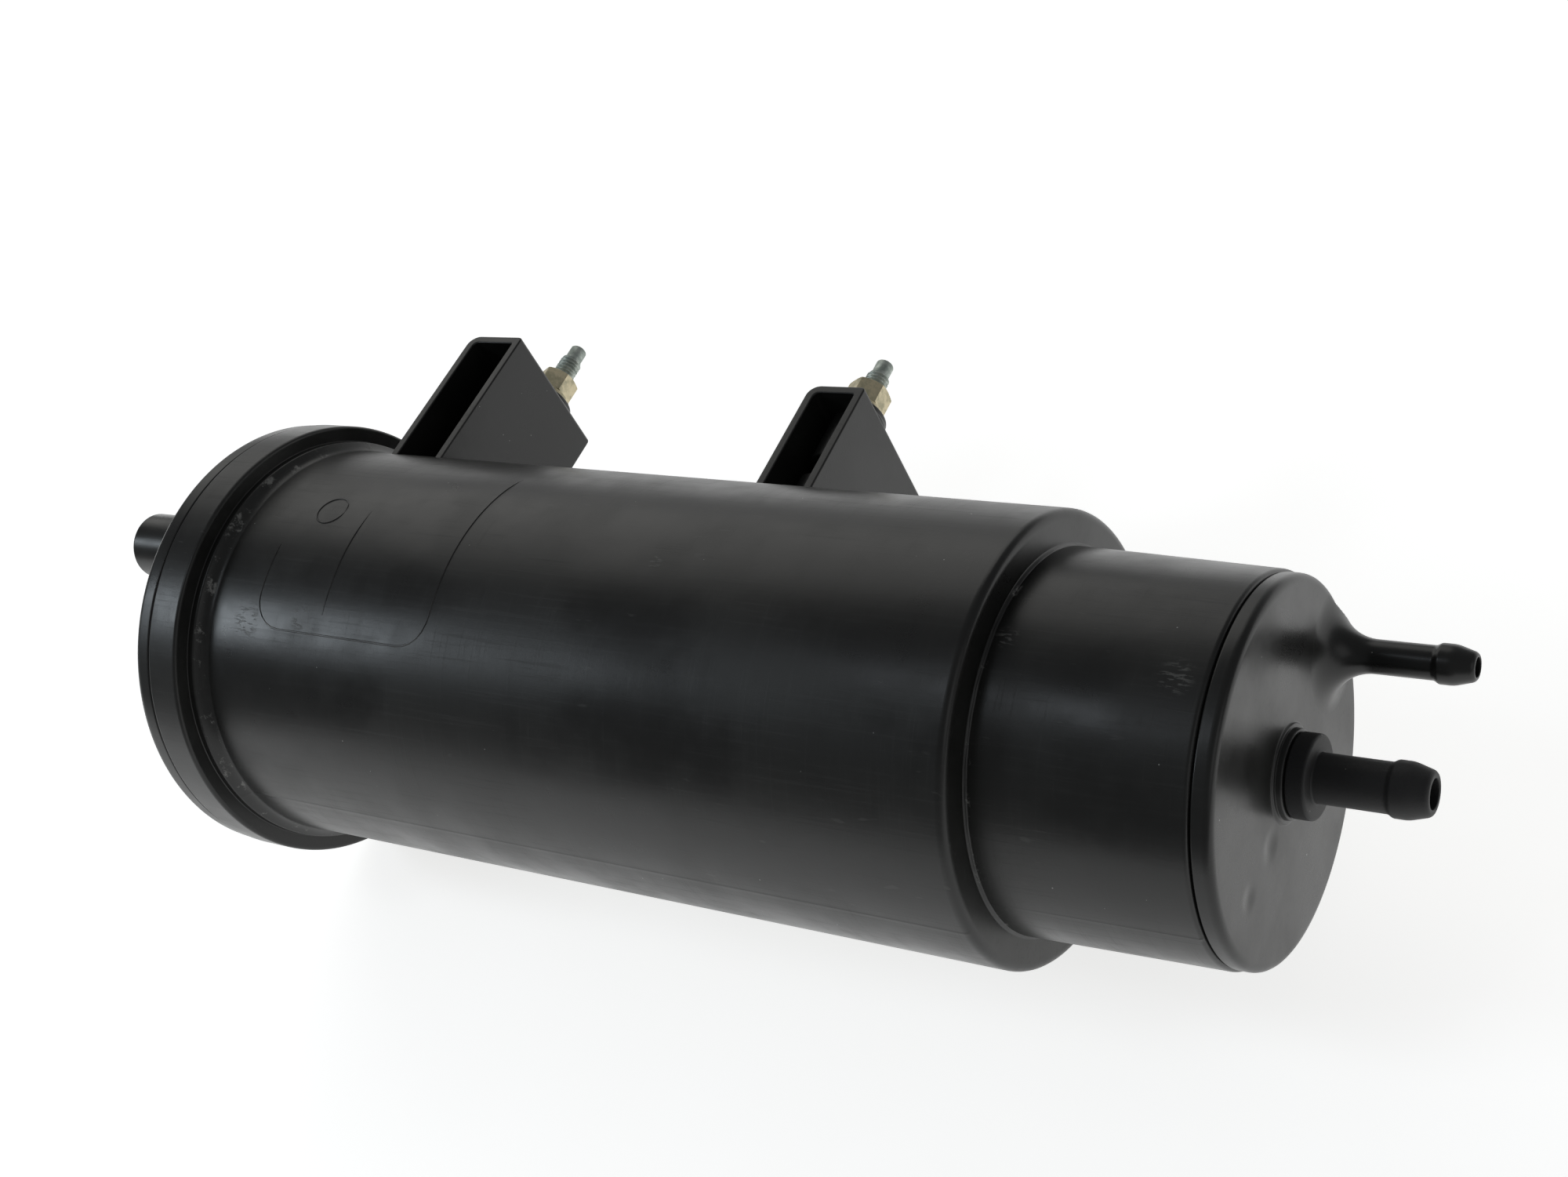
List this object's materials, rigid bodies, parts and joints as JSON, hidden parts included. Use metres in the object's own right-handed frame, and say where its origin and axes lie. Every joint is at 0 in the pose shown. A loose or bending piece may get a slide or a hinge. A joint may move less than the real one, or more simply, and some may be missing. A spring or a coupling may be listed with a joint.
{
  "type": "fuel vapour filter canister",
  "caption": "Round plastic fuel vapour filter canister with a stepped neck, two hose barbs, a vent tube, two bracket boxes with threaded studs and sprung filter beds inside.",
  "frame": {"origin": "middle of the two mounting studs, in the plane of the lock nuts' outer faces", "axes": "+X along the canister towards its two hose barbs, +Y along the studs away from the canister, +Z the way the bracket pockets open"},
  "size_m": [0.3345, 0.1578, 0.1128],
  "materials": {
    "housing_plastic": "black moulded nylon, semi-gloss with fine rubbing marks",
    "cap_plastic": "black moulded nylon, satin",
    "barb_plastic": "black glass-filled nylon, fine grain",
    "grid_plastic": "black moulded nylon, plain",
    "grey_zinc": "dull zinc plate",
    "yellow_zinc": "dull yellow passivated zinc plate",
    "spring_steel": "bright drawn wire",
    "seal_rubber": "smooth black rubber",
    "filter_foam": "open-cell grey foam",
    "filter_carbon": "packed carbon pellets"
  },
  "bodies": {
    "canister": {"housing": "housing_plastic", "vent_cap": "cap_plastic", "port_cap": "cap_plastic", "purge_fitting": "barb_plastic", "purge_o_ring": "seal_rubber", "front_stud": "grey_zinc", "rear_stud": "grey_zinc", "bed_spring": "spring_steel", "main_carbon_bed": "filter_carbon", "divider_foam": "filter_foam", "divider_grid": "grid_plastic", "neck_carbon_bed": "filter_carbon", "port_foam": "filter_foam", "port_grid": "grid_plastic"},
    "front_washer": {"front_washer": "yellow_zinc"},
    "front_nut": {"front_nut": "yellow_zinc"},
    "rear_washer": {"rear_washer": "yellow_zinc"},
    "rear_nut": {"rear_nut": "yellow_zinc"},
    "pressure_plate": {"pressure_plate": "grid_plastic", "vent_foam": "filter_foam"}
  },
  "joints": [
    {"name": "front_nut_travel", "type": "slide", "parent": "canister", "child": "front_washer", "axis": [0, 1, 0], "range_m": [0, 0.007]},
    {"name": "front_nut_turn", "type": "hinge", "parent": "front_washer", "child": "front_nut", "pos_m": [-0.051, -0.003, 0], "axis": [0, 1, 0], "range_deg": [0, 2520]},
    {"name": "rear_nut_travel", "type": "slide", "parent": "canister", "child": "rear_washer", "axis": [0, 1, 0], "range_m": [0, 0.0045]},
    {"name": "rear_nut_turn", "type": "hinge", "parent": "rear_washer", "child": "rear_nut", "pos_m": [0.051, -0.003, 0], "axis": [0, 1, 0], "range_deg": [0, 1620]},
    {"name": "plate_slide", "type": "slide", "parent": "canister", "child": "pressure_plate", "axis": [-1, 0, 0], "range_m": [0, 0.005], "stiffness_N_per_m": 1500, "springref_m": -0.02, "deforming": ["bed_spring"]}
  ],
  "couplings": [
    {"joint": "front_nut_turn", "follows": "front_nut_travel", "rad_per_m": 6283.2},
    {"joint": "rear_nut_turn", "follows": "rear_nut_travel", "rad_per_m": 6283.2}
  ]
}
